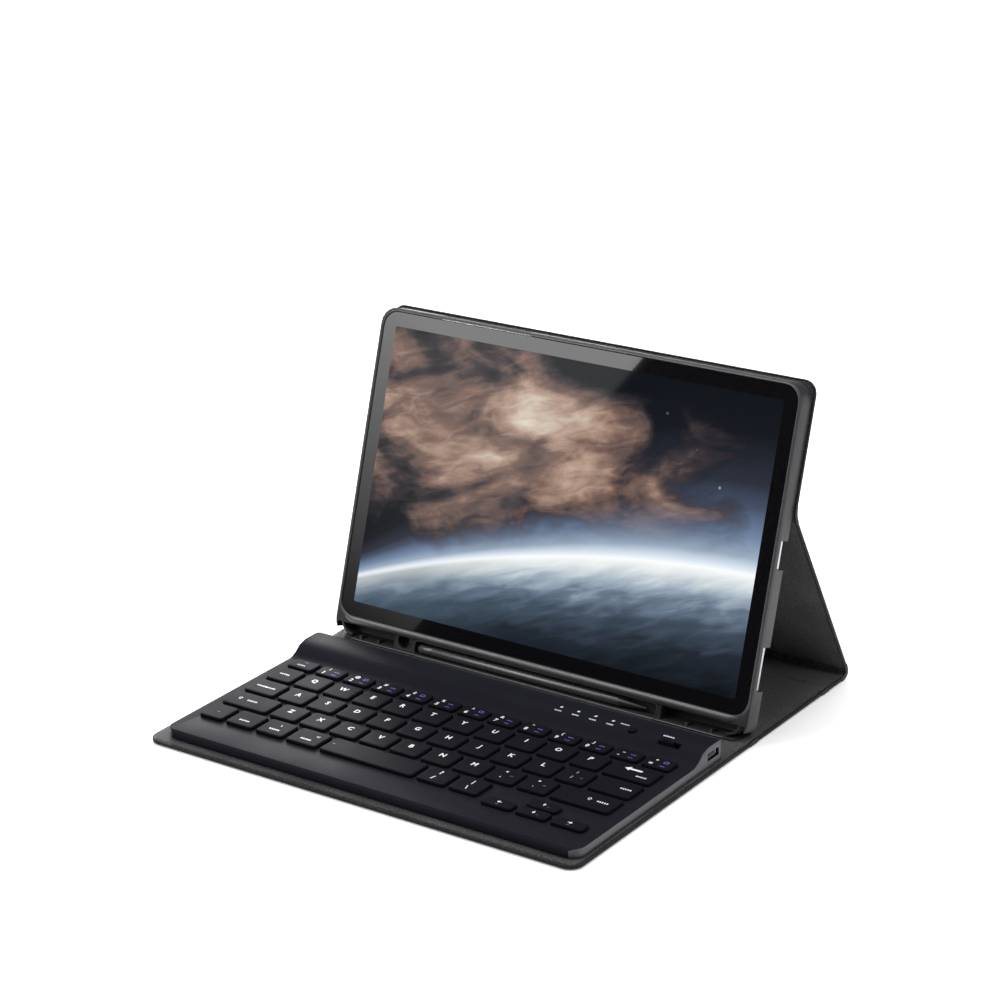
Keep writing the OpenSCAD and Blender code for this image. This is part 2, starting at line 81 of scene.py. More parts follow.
cover_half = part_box("front_panel_skin")[1].x
front_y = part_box("front_panel_skin")[0].y
mid_t = hinge("front_fold").z
fold_gap = hinge("front_fold").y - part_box("front_panel_skin")[1].y
leg = hinge("back_fold") - hinge("rear_fold")
leg_angle = math.atan2(leg.z, leg.y)


def flat_frame(origin, angle):
    """A panel's own frame: X along the width, Y away from the fold, Z from the outside to the lining."""
    return Matrix.Translation(origin) @ Matrix.Rotation(angle, 4, "X") @ Matrix.Translation((0, 0, -mid_t))


TABLE = Matrix.Identity(4)
LOWER_BACK = flat_frame(hinge("rear_fold"), leg_angle)
UPPER_BACK = flat_frame(hinge("back_fold"), tilt)

# ---------------------------------------------------------------- camera, lights and floor

CAMERA_PLACE = Vector((0.7997, -1.0710, 0.6270))
CAMERA_YAW, CAMERA_PITCH, CAMERA_ROLL = 0.63968, -0.36891, -0.03916
LENS_MM, SENSOR_MM = 107.54, 36
NEAREST = 0.05

# The studio is dark up to about 20 degrees over the horizon and turns pale overhead
SKY_LOW = (0.02, 0.02, 0.022)
SKY_HIGH = (0.75, 0.75, 0.77)
SKY_FADE_START = 0.35
# Each light: place, target, width and height, and power in watts
LIGHTS = {
    "top_light": ((-0.1, 0.5, 2.35), (0, 0, 0), (2.6, 2.4), 50),
    "sheen_light": ((-1.25, 1.25, 0.75), (-0.1, -0.1, 0), (0.9, 0.8), 34),
    "side_light": ((1.5, 0.35, 0.45), (0.1, 0, 0.03), (0.5, 0.9), 4.5),
    "front_light": ((-0.92, -0.82, 1.18), (0, 0.03, 0.02), (0.8, 0.45), 7),
}
FLOOR_SIZE, FLOOR_DROP = 30, 0.0002
# The glare panel: distance from the glass, lean of its sharp edge, where that edge passes the
# mirrored line of sight, and its size
GLARE_AWAY, GLARE_LEAN = 1.6, math.radians(-20.7)
GLARE_EDGE = (0.034, 0.0)
GLARE_WIDTH, GLARE_RISE, GLARE_DROP = 0.55, 0.34, 0.26
GLARE_STRENGTH = 2.6


def add_camera():
    data = bpy.data.cameras.new("camera")
    data.lens, data.sensor_width, data.clip_start = LENS_MM, SENSOR_MM, NEAREST
    camera = bpy.data.objects.new("camera", data)
    level = Matrix.Rotation(CAMERA_YAW, 4, "Z") @ Matrix.Rotation(math.pi / 2 + CAMERA_PITCH, 4, "X")
    camera.matrix_world = Matrix.Translation(CAMERA_PLACE) @ level @ Matrix.Rotation(CAMERA_ROLL, 4, "Z")
    bpy.context.scene.collection.objects.link(camera)
    bpy.context.scene.camera = camera


def add_area_light(name, place, target, size, power):
    data = bpy.data.lights.new(name, "AREA")
    data.shape, data.size, data.size_y = "RECTANGLE", size[0], size[1]
    data.energy = power
    light = bpy.data.objects.new(name, data)
    light.location = place
    light.rotation_euler = (Vector(target) - Vector(place)).to_track_quat("-Z", "Y").to_euler()
    bpy.context.scene.collection.objects.link(light)


def add_studio():
    world = bpy.data.worlds.new("studio")
    bpy.context.scene.world = world
    world.use_nodes = True
    nodes, links = world.node_tree.nodes, world.node_tree.links
    height = nodes.new("ShaderNodeSeparateXYZ")
    links.new(nodes.new("ShaderNodeTexCoord").outputs["Generated"], height.inputs[0])
    fade = nodes.new("ShaderNodeValToRGB")
    low, high = fade.color_ramp.elements
    low.color = (*SKY_LOW, 1)
    low.position = SKY_FADE_START
    high.color = (*SKY_HIGH, 1)
    links.new(height.outputs[2], fade.inputs[0])
    links.new(fade.outputs[0], nodes["Background"].inputs[0])
    for name, (place, target, size, power) in LIGHTS.items():
        add_area_light(name, place, target, size, power)
    add_glare_panel()
    bpy.context.scene.view_settings.view_transform = "Standard"


def add_glare_panel():
    """A soft panel that the camera sees mirrored in the glass: sharp on one side, fading downwards."""
    middle = TABLET @ Vector((0, tablet_h / 2, 0))
    normal = TABLET.to_3x3() @ Vector((0, 0, 1))
    aim = (middle - CAMERA_PLACE).normalized()
    away = aim.reflect(normal)
    side = away.cross(Vector((0, 0, 1))).normalized()
    up = side.cross(away)
    lean = Matrix.Rotation(GLARE_LEAN, 3, away)
    along, across = lean @ up, lean @ side
    corner = middle + away * GLARE_AWAY + side * GLARE_EDGE[0] + up * GLARE_EDGE[1]
    spots = [(0, GLARE_RISE), (GLARE_WIDTH, GLARE_RISE), (GLARE_WIDTH, -GLARE_DROP), (0, -GLARE_DROP)]
    mesh = bpy.data.meshes.new("glare_panel")
    mesh.from_pydata([corner + across * a + along * b for a, b in spots], [], [(0, 1, 2, 3)])
    uv = mesh.uv_layers.new(name="fade")
    for loop, spot in zip(uv.data, ((0, 1), (1, 1), (1, 0), (0, 0))):
        loop.uv = spot
    mesh.materials.append(glare_material())
    panel = bpy.data.objects.new("glare_panel", mesh)
    bpy.context.scene.collection.objects.link(panel)


def add_floor():
    bpy.ops.mesh.primitive_plane_add(size=FLOOR_SIZE, location=(0, 0, -FLOOR_DROP))
    floor = bpy.context.object
    floor.name = "floor"
    floor.data.materials.append(floor_material())


# ---------------------------------------------------------------- materials

MATERIALS = {}


class Shader:
    """A material under construction: a Principled shader and short calls that add nodes to it."""

    def __init__(self, name, colour, roughness, **sockets):
        self.material = bpy.data.materials.new(name)
        self.material.use_nodes = True
        self.tree = self.material.node_tree
        self.main = self.tree.nodes["Principled BSDF"]
        self.main.inputs["Base Color"].default_value = (*colour, 1)
        self.main.inputs["Roughness"].default_value = roughness
        for socket, value in sockets.items():
            self.main.inputs[socket.replace("_", " ")].default_value = value
        self.place = self.add("ShaderNodeTexCoord").outputs["Object"]
        MATERIALS[name] = self.material

    def add(self, kind, inputs=None, **settings):
        node = self.tree.nodes.new(kind)
        for key, value in settings.items():
            setattr(node, key, value)
        for key, value in (inputs or {}).items():
            if isinstance(value, bpy.types.NodeSocket):
                self.tree.links.new(value, node.inputs[key])
            else:
                node.inputs[key].default_value = value
        return node

    def link(self, output, socket):
        self.tree.links.new(output, self.main.inputs[socket])

    def noise(self, scale, detail=3, stretch=None):
        place = self.place
        if stretch:
            place = self.add("ShaderNodeMapping", {"Vector": place, "Scale": stretch}).outputs[0]
        inputs = {"Vector": place, "Scale": scale, "Detail": detail}
        return self.add("ShaderNodeTexNoise", inputs).outputs[0]

    def ramp(self, value, stops):
        node = self.add("ShaderNodeValToRGB", {"Fac": value})
        elements = node.color_ramp.elements
        while len(elements) < len(stops):
            elements.new(0.5)
        for element, (at, colour) in zip(elements, stops):
            element.position = at
            element.color = (*colour, 1)
        return node.outputs[0]

    def math(self, kind, a, b=0.5):
        return self.add("ShaderNodeMath", {0: a, 1: b}, operation=kind).outputs[0]

    def remap(self, value, low, high, new_low, new_high):
        inputs = {"Value": value, "From Min": low, "From Max": high, "To Min": new_low, "To Max": new_high}
        return self.add("ShaderNodeMapRange", inputs).outputs[0]

    def mix(self, factor, a, b):
        node = self.add("ShaderNodeMix", data_type="RGBA")
        for socket, value in ((node.inputs[0], factor), (node.inputs[6], a), (node.inputs[7], b)):
            if isinstance(value, bpy.types.NodeSocket):
                self.tree.links.new(value, socket)
            else:
                socket.default_value = value if isinstance(value, float) else (*value, 1)
        return node.outputs[2]

    def bump(self, height, distance, strength):
        node = self.add("ShaderNodeBump", {"Height": height, "Distance": distance, "Strength": strength})
        self.link(node.outputs[0], "Normal")


def floor_material():
    s = Shader("floor_paint", (0.9, 0.9, 0.9), 0.9, Specular_IOR_Level=0.1)
    s.link(s.ramp(s.noise(3), [(0.3, (0.90, 0.90, 0.90)), (0.7, (0.92, 0.92, 0.92))]), "Base Color")
    s.main.inputs["Emission Color"].default_value = (1, 1, 1, 1)
    s.main.inputs["Emission Strength"].default_value = 0.28
    return s.material


def leather_material():
    """Black coated leather: small rounded pebbles, finer creases and faint rubbed tops."""
    s = Shader("black_leather", (0.02, 0.02, 0.022), 0.55, Specular_IOR_Level=0.2)
    pebble = s.add("ShaderNodeTexVoronoi", {"Vector": s.place, "Scale": 1050.0, "Smoothness": 0.6},
                   feature="SMOOTH_F1").outputs["Distance"]
    crease = s.noise(2300, 4)
    height = s.math("ADD", s.math("MULTIPLY", pebble, -0.8), s.math("MULTIPLY", crease, 0.5))
    s.bump(height, 0.00022, 0.75)
    s.link(s.ramp(pebble, [(0.1, (0.020, 0.020, 0.022)), (0.6, (0.008, 0.008, 0.009))]), "Base Color")
    wear = s.math("ADD", s.math("MULTIPLY", s.noise(45, 5), 0.5), s.math("MULTIPLY", pebble, 0.35))
    s.link(s.remap(wear, 0.2, 0.75, 0.42, 0.66), "Roughness")


def lining_material():
    """Brushed microfibre: short fibres in patches that lean different ways."""
    s = Shader("grey_microfibre", (0.05, 0.05, 0.053), 0.9, Specular_IOR_Level=0.2)
    s.main.inputs["Sheen Weight"].default_value = 1.0
    s.main.inputs["Sheen Roughness"].default_value = 0.35
    fibre = s.noise(1500, 4, (1, 0.5, 1))
    cloud = s.noise(24, 4)
    tone = s.math("ADD", s.math("MULTIPLY", fibre, 0.6), s.math("MULTIPLY", cloud, 0.4))
    s.link(s.ramp(tone, [(0.4, (0.016, 0.016, 0.017)), (0.6, (0.072, 0.072, 0.075))]), "Base Color")
    s.bump(fibre, 0.00018, 0.6)


def plastic_material(name, colour, roughness, grain=2400, depth=0.00004, tint=1.35, **sockets):
    """Moulded plastic with a fine spark-eroded texture."""
    s = Shader(name, colour, roughness, **sockets)
    grains = s.noise(grain, 3)
    bright = tuple(c * tint for c in colour)
    s.link(s.mix(s.noise(60, 4), colour, bright), "Base Color")
    uneven = s.math("ADD", grains, s.noise(30, 3))
    s.link(s.remap(uneven, 0.7, 1.3, roughness - 0.06, roughness + 0.08), "Roughness")
    s.bump(grains, depth, 0.5)


def metal_material(name, colour, roughness, stretch):
    """Brushed metal, whose streaks run along the axis with the small stretch."""
    s = Shader(name, colour, roughness, Metallic=1.0)
    streak = s.noise(900, 4, stretch)
    dull, bright = (tuple(min(1, c * k) for c in colour) for k in (0.8, 1.15))
    s.link(s.mix(streak, dull, bright), "Base Color")
    s.link(s.remap(streak, 0.3, 0.7, roughness - 0.07, roughness + 0.09), "Roughness")
    s.bump(streak, 0.00001, 0.35)


def glass_border_material():
    """Black glass round the screen, with faint smears."""
    s = Shader("glass_border", (0.004, 0.004, 0.005), 0.03, Coat_Weight=0.9, Coat_Roughness=0.01)
    s.link(s.remap(s.noise(14, 5), 0.35, 0.7, 0.02, 0.045), "Roughness")


def glare_material():
    """A glow that fades towards the foot of the panel."""
    s = Shader("glare_panel", (0, 0, 0), 0.9)
    v = s.add("ShaderNodeSeparateXYZ", {0: s.add("ShaderNodeUVMap").outputs[0]}).outputs[1]
    s.main.inputs["Emission Color"].default_value = (1, 1, 1, 1)
    fade = s.math("POWER", s.remap(v, 0.0, 0.55, 0.0, 1.0), 1.5)
    s.link(s.math("MULTIPLY", fade, GLARE_STRENGTH), "Emission Strength")
    return s.material


def picture_material():
    """A made-up sky for the screen: soft clouds over the lit edge of a planet. Its coordinates run
    in tablet heights from the foot of the glass, with zero in the middle of the width."""
    s = Shader("screen_picture", (0.003, 0.003, 0.004), 0.03, Specular_IOR_Level=0.14)
    place = s.add("ShaderNodeUVMap").outputs[0]
    split = s.add("ShaderNodeSeparateXYZ", {0: place})
    x, y = split.outputs[0], split.outputs[1]

    def add(a, b):
        return s.math("ADD", a, b)

    def sub(a, b):
        return s.math("SUBTRACT", a, b)

    def mul(a, b):
        return s.math("MULTIPLY", a, b)

    def square(a):
        return s.math("POWER", s.math("ABSOLUTE", a), 2.0)

    def field(scale, detail, where, warp):
        inputs = {"Vector": where, "Scale": scale, "Detail": detail, "Distortion": warp}
        return s.add("ShaderNodeTexNoise", inputs).outputs[0]

    def pair(a, b):
        return s.add("ShaderNodeCombineXYZ", {0: a, 1: b}).outputs[0]

    # The planet's edge is a shallow arc, brightest from the middle to the right
    edge = add(add(mul(mul(x, x), -0.12), mul(x, 0.2)), 0.34)
    above = sub(y, edge)
    glow = s.remap(x, -0.75, 0.35, 0.25, 1.0)
    lift = s.math("DIVIDE", above, glow)
    sky = s.ramp(lift, [(0.0, (0.95, 0.99, 1.0)), (0.015, (0.72, 0.80, 0.90)), (0.05, (0.34, 0.43, 0.55)),
                        (0.11, (0.17, 0.24, 0.37)), (0.2, (0.06, 0.08, 0.13)), (0.27, (0.025, 0.03, 0.045)),
                        (0.42, (0.006, 0.008, 0.011)), (0.6, (0.003, 0.005, 0.007))])

    # Clouds drift across the left and thin out to the right
    drift = field(2.3, 9, pair(add(x, mul(y, 0.9)), mul(sub(y, mul(x, 0.35)), 1.7)), 0.7)
    wisps = field(7.0, 9, pair(add(x, y), mul(sub(y, mul(x, 0.35)), 3.4)), 0.9)
    reach = square(s.math("DIVIDE", add(x, 0.28), 0.78))
    rise = square(s.math("DIVIDE", sub(y, add(0.62, mul(x, -0.1))), 0.33))
    density = sub(add(drift, 0.21), mul(add(reach, rise), 0.22))
    density = add(density, mul(sub(wisps, 0.5), 0.26))
    cloud = s.ramp(density, [(0.42, (0.010, 0.010, 0.014)), (0.55, (0.055, 0.042, 0.045)),
                             (0.66, (0.20, 0.125, 0.10)), (0.76, (0.44, 0.30, 0.23)),
                             (0.86, (0.66, 0.56, 0.46)), (0.97, (0.82, 0.77, 0.68))])
    cover = mul(s.remap(density, 0.36, 0.56, 0.0, 1.0), s.remap(lift, 0.02, 0.2, 0.0, 1.0))
    sky = s.mix(cover, sky, cloud)

    # The surface of the planet falls away into the dark
    depth = s.math("DIVIDE", mul(above, -1.0), s.remap(x, -0.75, 0.2, 0.62, 1.0))
    waves = field(9.0, 12, pair(sub(x, mul(y, 0.6)), mul(sub(y, mul(x, 0.3)), 3.2)), 0.4)
    rough = add(depth, mul(sub(waves, 0.5), s.remap(depth, 0.0, 0.14, 0.02, 0.17)))
    sea = s.ramp(rough, [(0.0, (0.96, 0.98, 0.97)), (0.03, (0.74, 0.79, 0.80)), (0.07, (0.40, 0.48, 0.56)),
                         (0.12, (0.14, 0.19, 0.26)), (0.18, (0.055, 0.080, 0.115)),
                         (0.27, (0.016, 0.022, 0.033)), (0.38, (0.004, 0.006, 0.008))])
    sea = s.mix(s.remap(x, -0.5, -0.1, 0.45, 0.0), sea, (0.05, 0.085, 0.12))
    picture = s.mix(s.remap(above, -0.012, 0.006, 1.0, 0.0), sky, sea)

    # A few faint stars at the upper right
    inputs = {"Vector": place, "Scale": 15.0, "Randomness": 1.0}
    stars = s.add("ShaderNodeTexVoronoi", inputs).outputs["Distance"]
    spark = mul(s.remap(stars, 0.03, 0.09, 1.0, 0.0), s.remap(x, 0.3, 0.4, 0.0, 0.4))
    picture = s.mix(mul(spark, s.remap(y, 0.58, 0.66, 0.0, 1.0)), picture, (0.75, 0.8, 0.9))
    s.link(picture, "Emission Color")
    s.main.inputs["Emission Strength"].default_value = 1.0


def lens_material():
    """Coated lens glass that shifts between two dark blues."""
    s = Shader("lens_glass", (0.006, 0.007, 0.012), 0.03, Coat_Weight=1.0)
    s.link(s.mix(s.noise(400), (0.004, 0.005, 0.010), (0.012, 0.012, 0.03)), "Base Color")


def make_materials():
    leather_material()
    lining_material()
    plastic_material("shell_plastic", (0.026, 0.026, 0.028), 0.45, Specular_IOR_Level=0.3)
    plastic_material("ring_plastic", (0.012, 0.012, 0.014), 0.25, 1200, 0.00002)
    plastic_material("keyboard_plastic", (0.0095, 0.0095, 0.0135), 0.46, Specular_IOR_Level=0.018)
    plastic_material("key_plastic", (0.0065, 0.0065, 0.009), 0.48, 2600, 0.00003, Specular_IOR_Level=0.015)
    # The sides of the keyboard case are the same plastic made glossier, with a lighter base colour that
    # paints light on them
    plastic_material("glossy_side_painted_light", (0.030, 0.030, 0.036), 0.4, Specular_IOR_Level=0.7)
    plastic_material("white_legend", (0.72, 0.72, 0.74), 0.6, 3000, 0.00001, 1.1)
    plastic_material("violet_legend", (0.11, 0.09, 0.42), 0.6, 3000, 0.00001, 1.2)
    plastic_material("pen_tip", (0.02, 0.02, 0.022), 0.35)
    plastic_material("rubber", (0.02, 0.02, 0.02), 0.8)
    plastic_material("film", (0.55, 0.57, 0.58), 0.5)
    plastic_material("board", (0.02, 0.12, 0.05), 0.5)
    plastic_material("lamp", (0.6, 0.64, 0.7), 0.3, 900, 0.00001, 1.1)
    metal_material("tablet_metal", (0.58, 0.59, 0.61), 0.3, (0.2, 1, 1))
    plastic_material("pen_plastic", (0.060, 0.060, 0.062), 0.24, 1500, 0.000003, 1.2, Specular_IOR_Level=0.9)
    # The tray's lip, sill, foot line and beads are the shell's own plastic made glossier, with a lighter base
    # colour that is a painted highlight
    plastic_material("lip_plastic", (0.055, 0.055, 0.057), 0.34, 2000, 0.000006, 1.2, Specular_IOR_Level=0.9)
    metal_material("steel", (0.6, 0.6, 0.62), 0.3, (1, 0.2, 1))
    glass_border_material()
    picture_material()
    lens_material()


# ---------------------------------------------------------------- mesh building

ARC_STEPS = 8
CIRCLE_STEPS = 48
SMALLEST_TURN = 0.12
WELD = 1e-6


def rounded_loop(x0, y0, x1, y1, r0, r1, inset=0.0):
    """A rectangle with rounded corners, counter-clockwise; r0 at the low Y end, r1 at the high one."""
    points = []
    for cx, cy, r, start in ((x1 - r0, y0 + r0, r0, -90), (x1 - r1, y1 - r1, r1, 0),
                             (x0 + r1, y1 - r1, r1, 90), (x0 + r0, y0 + r0, r0, 180)):
        small = max(r - inset, r * SMALLEST_TURN)
        shift = (r - small) - inset
        sx, sy = (1 if cx > (x0 + x1) / 2 else -1), (1 if cy > (y0 + y1) / 2 else -1)
        for i in range(ARC_STEPS + 1):
            a = math.radians(start + 90 * i / ARC_STEPS)
            points.append((cx + sx * shift + small * math.cos(a), cy + sy * shift + small * math.sin(a)))
    return points


def circle_loop(x, y, r):
    turns = [2 * math.pi * i / CIRCLE_STEPS for i in range(CIRCLE_STEPS)]
    return [(x + r * math.cos(a), y + r * math.sin(a)) for a in turns]


class Build:
    """Collects the geometry of one piece, in the part's own frame, and the materials on it."""

    def __init__(self, name):
        self.name, self.bm, self.slots = name, bmesh.new(), []

    def slot(self, material):
        if material not in self.slots:
            self.slots.append(material)
        return self.slots.index(material)

    def stack(self, loops, material, frame_at=TABLE, caps=(True, True), holes=None, closed=False):
        """Joins loops of points, each [(x, y), ...] at its own height, into a skin. holes are further
        loops at the same heights, which cut through the caps."""
        index = self.slot(material)
        made = []

        def rings(stacked):
            found = []
            for points, z in stacked:
                found.append([self.bm.verts.new(frame_at @ Vector((x, y, z))) for x, y in points])
            for a, b in zip(found, found[1:] + (found[:1] if closed else [])):
                for i in range(len(a)):
                    j = (i + 1) % len(a)
                    made.append(self.bm.faces.new((a[i], a[j], b[j], b[i])))
            return found

        outer = rings(loops)
        inner = rings(holes) if holes else None
        for wanted, k in zip(caps, (0, -1)):
            if not wanted:
                continue
            if inner is None:
                made.append(self.bm.faces.new(outer[k]))
            else:
                edges = [self.bm.edges.get((r[i], r[(i + 1) % len(r)])) for r in (outer[k], inner[k])
                         for i in range(len(r))]
                result = bmesh.ops.triangle_fill(self.bm, edges=edges, use_beauty=True)
                made += [f for f in result["geom"] if isinstance(f, bmesh.types.BMFace)]
        for f in made:
            f.material_index = index
            f.smooth = True
        bmesh.ops.recalc_face_normals(self.bm, faces=made)

    def strip(self, sections, material):
        """Joins closed cross-sections, each a list of points, into a solid bar."""
        index = self.slot(material)
        rings = [[self.bm.verts.new(p) for p in section] for section in sections]
        made = [self.bm.faces.new(rings[0]), self.bm.faces.new(rings[-1])]
        for a, b in zip(rings, rings[1:]):
            for i in range(len(a)):
                j = (i + 1) % len(a)
                made.append(self.bm.faces.new((a[i], a[j], b[j], b[i])))
        for f in made:
            f.material_index = index
            f.smooth = True
        bmesh.ops.recalc_face_normals(self.bm, faces=made)

    def done(self, body, *stands_for, slot=None, sharp=40):
        """The finished piece, riding on a body and standing for CAD nodes."""
        mesh = bpy.data.meshes.new(self.name)
        self.bm.to_mesh(mesh)
        self.bm.free()
        for name in self.slots:
            mesh.materials.append(MATERIALS[name])
        mesh.set_sharp_from_angle(angle=math.radians(sharp))
        piece = bpy.data.objects.new(self.name, mesh)
        bpy.context.scene.collection.objects.link(piece)
        if body:
            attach(piece, body)
        if stands_for:
            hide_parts(*stands_for)
        return piece


# Faces that meet at less than FLAT degrees are one face, and a side face's normal leans at least
# SIDEWAYS to the left or right
FLAT, SIDEWAYS = 0.5, 0.35
# An edge of the outline lies this close to the sides, this far above the foot, and climbs no steeper
ON_OUTLINE, ABOVE_FOOT, STEEPEST = 0.3 * MM, 1.0 * MM, 0.8


def ease(bm, edges, width, segments, profile):
    """Rounds edges by a width in mm."""
    bmesh.ops.bevel(bm, geom=edges, offset=width * MM, segments=segments, profile=profile, affect="EDGES",
                    clamp_overlap=True, offset_type="OFFSET")


def sharp_edges(bm, smooth):
    return [e for e in bm.edges if len(e.link_faces) == 2 and e.calc_face_angle(0) > math.radians(smooth)]


def outline_edges(bm, smooth):
    """The sharp level edges round the sides of a solid, above its foot."""
    low = [min(v.co[k] for v in bm.verts) for k in range(3)]
    high = [max(v.co[k] for v in bm.verts) for k in range(3)]

    def on_side(v):
        return min(min(v.co[k] - low[k], high[k] - v.co[k]) for k in range(2)) < ON_OUTLINE

    def level(e):
        a, b = (v.co for v in e.verts)
        return min(a.z, b.z) > low[2] + ABOVE_FOOT and abs(a.z - b.z) < (a - b).length * STEEPEST

    return [e for e in sharp_edges(bm, smooth) if all(on_side(v) for v in e.verts) and level(e)]


def finished(node, body, material, slot, bevel=0.25, smooth=32, outline=0.0, side_material=None):
    """The CAD node with its sharp edges eased, as a piece that stands for it. outline rounds the top
    edges round its sides further, and side_material goes on the faces that look sideways, with a lighter base
    colour that paints light on them."""
    build = Build(node + "_finished")
    index = build.slot(material)
    build.bm.from_mesh(frame["nodes"][node].data)
    bm = build.bm
    bmesh.ops.remove_doubles(bm, verts=bm.verts, dist=WELD)
    bmesh.ops.dissolve_limit(bm, angle_limit=math.radians(FLAT), verts=bm.verts, edges=bm.edges)
    if outline:
        ease(bm, outline_edges(bm, smooth), outline, segments=3, profile=0.5)
        bm.normal_update()
    if bevel:
        ease(bm, sharp_edges(bm, smooth), bevel, segments=2, profile=0.6)
    bm.normal_update()
    side = build.slot(side_material) if side_material else index
    for f in bm.faces:
        f.material_index = side if abs(f.normal.x) > SIDEWAYS else index
        f.smooth = True
    return build.done(body, node, slot=slot, sharp=smooth)


def islands(node):
    """The box of each separate solid in a CAD node, as (lowest, highest), from left to right."""
    bm = bmesh.new()
    bm.from_mesh(frame["nodes"][node].data)
    bmesh.ops.remove_doubles(bm, verts=bm.verts, dist=WELD)
    left, found = set(bm.verts), []
    while left:
        stack, group = [left.pop()], []
        while stack:
            v = stack.pop()
            group.append(v.co.copy())
            for e in v.link_edges:
                other = e.other_vert(v)
                if other in left:
                    left.remove(other)
                    stack.append(other)
        low = Vector([min(p[k] for p in group) for k in range(3)])
        high = Vector([max(p[k] for p in group) for k in range(3)])
        found.append((low, high))
    bm.free()
    return sorted(found, key=lambda b: (round(b[0].x, 3), b[0].y))


# ---------------------------------------------------------------- the cover

CORNER = 7 * MM
SQUARE = 1.0 * MM
# How far from the edge, and how high from the outside, each line of the leather lies. It turns over
# the edge with a seam half way up, and the lining lies inside the turned rim.
TURNED_EDGE = ((5.0, 1.45), (1.0, 1.45), (0.97, 2.05), (0.85, 2.28), (0.6, 2.36), (0.35, 2.30), (0.1, 2.08),
               (0.0, 1.75), (0.0, 1.50), (0.22, 1.40), (0.22, 1.28), (0.0, 1.18), (0.0, 0.90), (0.10, 0.50),
               (0.35, 0.26), (0.80, 0.16))
LEATHER_PROFILE = TURNED_EDGE + ((3.1, 0.14), (3.5, 0.22), (3.8, 0.42), (4.15, 0.44), (4.5, 0.20),
                                 (5.0, 0.05), (5.8, 0.0), (6.6, 0.0))
SPINE_PROFILE = TURNED_EDGE + ((1.4, 0.10), (2.6, 0.04), (4.0, 0.0))
LINING_PROFILE = ((1.05, 1.46), (1.05, 2.15), (1.2, 2.38), (1.6, 2.50), (3.0, 2.56), (4.6, 2.6), (5.6, 2.6))
FOLD_SIDE_INSET = 0.05


def panel_loop(y0, y1, r0, r1, d, z):
    """One line round a panel. Above the middle of its thickness the lines run straight on to a fold."""
    tuck = min(d, FOLD_SIDE_INSET) if z * MM > mid_t else d
    low = (d if r0 > SQUARE else tuck) * MM
    high = (d if r1 > SQUARE else tuck) * MM
    side = cover_half - d * MM
    turn0, turn1 = (max(r - d * MM, r * SMALLEST_TURN) for r in (r0, r1))
    return rounded_loop(-side, y0 + low, side, y1 - high, turn0, turn1)


def panel_piece(name, frame_at, y0, y1, r0, r1, profile, material, hole):
    """One layer of a panel, whose edge follows a profile. hole is a round opening, as (x, y, radius)."""
    build = Build(name)
    loops = [(panel_loop(y0, y1, r0, r1, d, z), z * MM) for d, z in profile]
    holes = None
    if hole:
        x, y, r = hole
        holes = [(circle_loop(x, y, r), z * MM) for d, z in profile]
    build.stack(loops, material, frame_at, holes=holes)
    return build


def cover_panel(body, part, frame_at, y0, y1, r0=SQUARE, r1=SQUARE, hole=None):
    """One panel: leather outside with a pressed border line, microfibre inside."""
    spine = part == "spine"
    nodes = [] if spine else [part + "_board"]
    profile = SPINE_PROFILE if spine else LEATHER_PROFILE
    shape = (frame_at, y0, y1, r0, r1)
    leather = panel_piece(part + "_leather", *shape, profile, "black_leather", hole)
    leather = leather.done(body, part + "_skin", *nodes, slot="outer_leather", sharp=50)
    lining = panel_piece(part + "_microfibre", *shape, LINING_PROFILE, "grey_microfibre", hole)
    lining = lining.done(body, part + "_lining", slot="microfibre_lining", sharp=50)


# How far each soft fold reaches to either side of its axis, in mm
FOLD_END = {"front_fold": 3.4, "spine_fold": 3.4, "rear_fold": 7.0, "back_fold": 5.0}
FOLD_STEPS, WIDTH_STEPS = 12, 60
# Distances of the two faces of the leather and of the lining from the outside, in mm
LEATHER_FACES, LINING_FACES = (0.12, 1.3), (1.35, 2.5)
# Small waves along a fold: the limits of their height in metres, their frequency and their phase
WAVES, WAVE = 3, ((0.00003, 0.00009), (40, 160), (0, 6.28))
# The turned rim at the ends of the leather: its width, its height and the step up to it
RIM, RIM_HIGH, RIM_STEP = 1.0 * MM, 2.38, 0.05 * MM
# Gap at a strip's ends, and the least length that a sheet may state
END_GAP, SHORTEST_FLAT = 0.02 * MM, 0.0101
# How far the rear fold laps over its panels, how far the cover stands out past the glass at the top,
# and the gap round the camera ring
FOLD_OVERLAP, COVER_PAST_GLASS, CAMERA_GAP = 0.4 * MM, 3.4 * MM, 0.1 * MM


def fold_line(reach, bend, offset):
    """From one panel to the other along a smooth curve, as (y, z) about the fold's axis."""
    start = (-reach, offset)
    corner = (-offset * math.tan(bend / 2), offset)
    end = (reach * math.cos(bend) - offset * math.sin(bend), reach * math.sin(bend) + offset * math.cos(bend))
    points = []
    for i in range(FOLD_STEPS + 1):
        t = i / FOLD_STEPS
        weights = (1 - t) ** 2, 2 * t * (1 - t), t * t
        points.append(tuple(sum(w * p[k] for w, p in zip(weights, (start, corner, end))) for k in range(2)))
    return points


